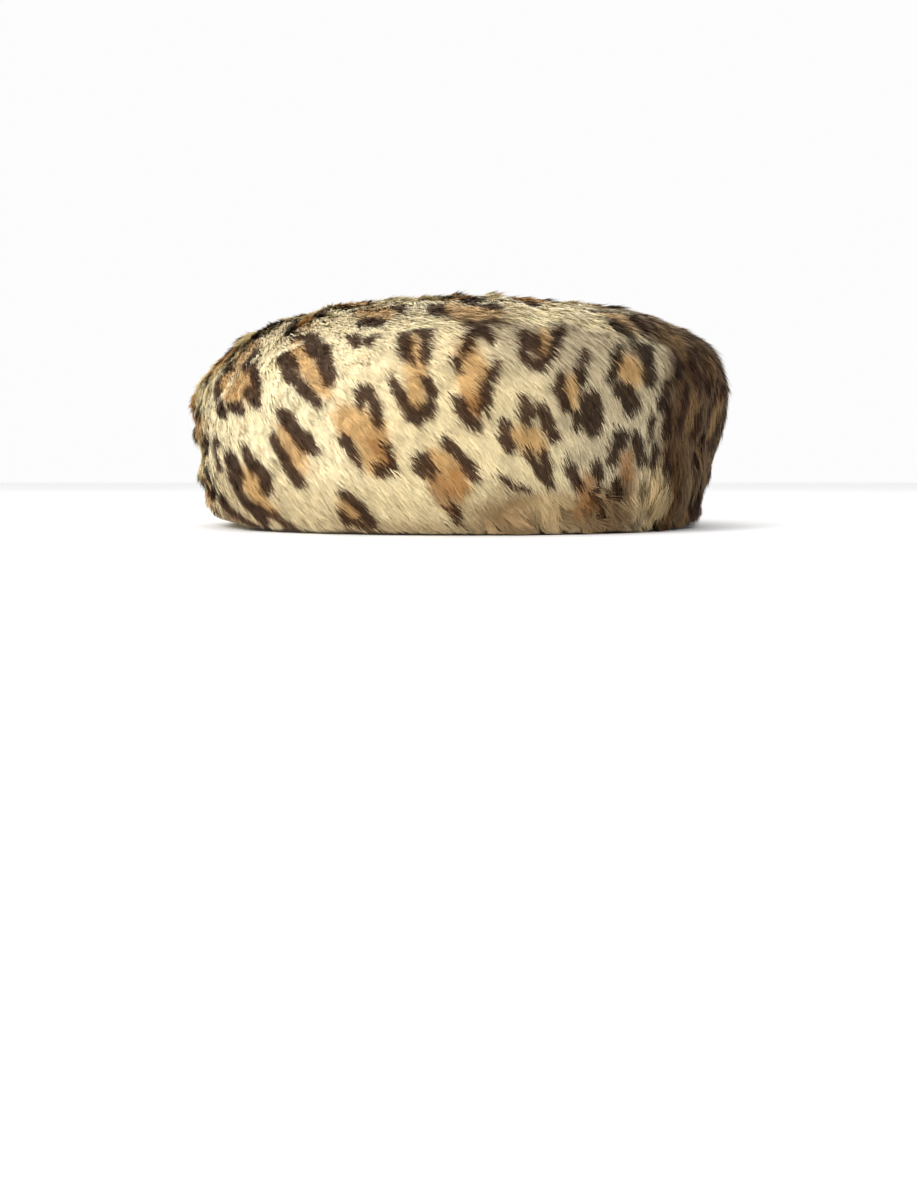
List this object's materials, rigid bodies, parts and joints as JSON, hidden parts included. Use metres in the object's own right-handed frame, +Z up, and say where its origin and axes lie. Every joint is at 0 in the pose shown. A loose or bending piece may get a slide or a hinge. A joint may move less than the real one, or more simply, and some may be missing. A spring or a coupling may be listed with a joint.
{
  "type": "spotted fur hat",
  "caption": "Low, wide, soft fur pillbox hat with a puffed side turned under to the head opening and a leopard-spotted pile.",
  "frame": {"origin": "middle of the foot's plane, under the middle of the whole hat", "axes": "+Z up through the crown, -Y to the wearer's front, +X to the right as seen from the front"},
  "size_m": [0.2084, 0.248, 0.085],
  "materials": {
    "crown_fur": "short spotted fur pile, greyish cream with a sheen",
    "front_fur": "short spotted fur pile, cream with tan and dark brown spots",
    "back_fur": "short spotted fur pile, browner cream with dark streaks",
    "under_fur": "short fur pile, greyish tan with a few dark spots"
  },
  "bodies": {
    "root": {"crown_tip": "crown_fur", "side_front": "front_fur", "side_back": "back_fur", "under_band": "under_fur"}
  },
  "joints": []
}
